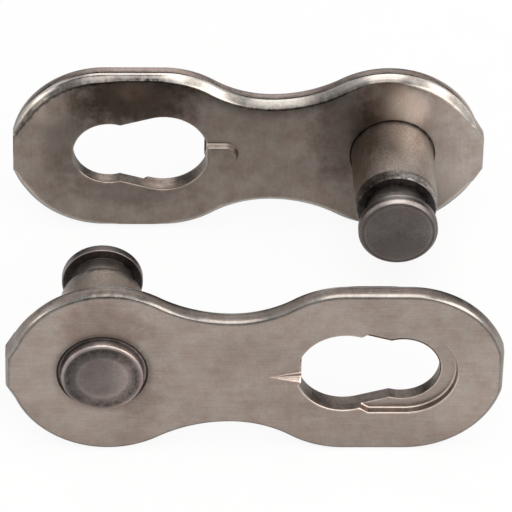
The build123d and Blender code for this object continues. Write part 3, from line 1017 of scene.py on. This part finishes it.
def floor_material():
    """Pale matt floor that is seen nearly white, with the object's shadow."""
    g = Graph(bpy.data.materials.new("pale_floor"))
    ray = g.add("LightPath").outputs
    grain = g.noise(g.add("TexCoord").outputs["Object"], 300)
    colour = g.ramp(grain, [(0.3, (0.84, 0.84, 0.84)), (0.7, (0.88, 0.88, 0.88))])
    matt = g.out("BsdfDiffuse", {"Color": colour})
    white = g.out("Emission", {"Color": (1, 1, 1, 1), "Strength": 1.0})
    seen = g.math("ADD", g.math("MULTIPLY", ray["Is Camera Ray"], CAMERA_WHITE),
                  g.math("MULTIPLY", ray["Is Glossy Ray"], REFLECTED_WHITE))
    seen = g.math("ADD", seen, g.math("MULTIPLY", ray["Is Transmission Ray"], REFLECTED_WHITE))
    g.add("OutputMaterial", {"Surface": g.out("MixShader", {0: seen, 1: matt, 2: white})})
    return g.owner


def dark_material():
    g = Graph(bpy.data.materials.new("black_card"))
    felt = g.noise(g.add("TexCoord").outputs["Object"], 80, 2)
    colour = g.ramp(felt, [(0.3, (0.02, 0.02, 0.02)), (0.7, (0.03, 0.03, 0.03))])
    g.add("OutputMaterial", {"Surface": g.out("BsdfDiffuse", {"Color": colour})})
    return g.owner


CARD_CORNERS = ((-1, -1), (1, -1), (1, 1), (-1, 1))
FLOOR_HALF = 1.5  # metres
stage_card("floor", [(FLOOR_HALF * x, FLOOR_HALF * y, 0) for x, y in CARD_CORNERS], floor_material())

WORLD_FILL = 0.45  # strength for light that falls on the object; the background itself is white, 1
scene.world = bpy.data.worlds.new("studio")
g = Graph(scene.world)
ray = g.add("LightPath").outputs
seen = g.math("MAXIMUM", ray["Is Camera Ray"], ray["Is Glossy Ray"])
seen = g.math("MAXIMUM", seen, ray["Is Transmission Ray"])
fill = g.out("Background", {"Color": (1, 1, 1, 1), "Strength": WORLD_FILL})
white = g.out("Background", {"Color": (1, 1, 1, 1), "Strength": 1.0})
g.add("OutputWorld", {"Surface": g.out("MixShader", {0: seen, 1: fill, 2: white})})


def direction(azimuth, elevation):
    """Unit vector towards a place round the object, azimuth in degrees from the front to the right."""
    a, e = radians(azimuth), radians(elevation)
    return Vector((sin(a) * cos(e), -cos(a) * cos(e), sin(e)))


def softbox(name, azimuth, elevation, distance, size, radiance, colour):
    """A rectangular lamp that faces the object, its distance and size in metres."""
    lamp = bpy.data.lights.new(name, "AREA")
    lamp.shape = "RECTANGLE"
    lamp.size, lamp.size_y = size
    lamp.energy = radiance * pi * size[0] * size[1]
    lamp.color = colour
    box = add_object(name, lamp)
    towards = direction(azimuth, elevation)
    box.location = towards * distance
    box.rotation_euler = towards.to_track_quat("Z", "Y").to_euler()
    box.visible_camera = False


black = dark_material()


def flag(name, azimuth, elevation, distance, size):
    """A black card that only reflections see."""
    towards = direction(azimuth, elevation)
    turn = towards.to_track_quat("Z", "Y")
    half_w, half_h = size[0] / 2, size[1] / 2
    corners = [towards * distance + turn @ Vector((x * half_w, y * half_h, 0)) for x, y in CARD_CORNERS]
    card = stage_card(name, [tuple(c) for c in corners], black)
    card.visible_camera = card.visible_diffuse = card.visible_shadow = False


softbox("key_softbox", 0, 56, 0.40, (0.26, 0.27), 3.0, (1.0, 0.985, 0.96))
softbox("top_softbox", 0, 90, 0.42, (0.26, 0.18), 2.6, (1.0, 0.985, 0.97))
softbox("right_softbox", 43, 22, 0.45, (0.34, 0.24), 3.8, (1.0, 0.96, 0.90))
softbox("left_softbox", -62, 14, 0.45, (0.12, 0.12), 2.8, (1.0, 0.93, 0.82))
softbox("rear_softbox", 180, 38, 0.50, (0.34, 0.10), 1.5, (1.0, 0.98, 0.96))
flag("top_flag", 180, 60, 0.32, (0.50, 0.12))
flag("front_flag", -12, 4, 0.46, (0.60, 0.14))
flag("rear_left_flag", -145, 10, 0.45, (0.42, 0.26))
flag("rear_right_flag", 145, 10, 0.45, (0.42, 0.26))

# ---------------- camera
# Angles in radians, distance and target in millimetres
VIEW_AZIMUTH = -0.0401
VIEW_ELEVATION = 0.6632
VIEW_ROLL = 0.0266
VIEW_DISTANCE = 205.48
FOCAL_PIXELS = 4813.6
VIEW_TARGET = Vector((0.200, 0, 4.021))
FRAME_PIXELS = 512

back = direction(degrees(VIEW_AZIMUTH), degrees(VIEW_ELEVATION))
right = Vector((cos(VIEW_AZIMUTH), sin(VIEW_AZIMUTH), 0))
lens = bpy.data.cameras.new("camera")
lens.lens = FOCAL_PIXELS * lens.sensor_width / FRAME_PIXELS
lens.dof.use_dof = False
camera = add_object("camera", lens)
turn = Matrix((right, back.cross(right), back)).transposed() @ Matrix.Rotation(VIEW_ROLL, 3, "Z")
camera.matrix_world = Matrix.Translation((VIEW_TARGET + back * VIEW_DISTANCE) * MM) @ turn.to_4x4()
scene.camera = camera
scene.view_settings.view_transform = "Standard"
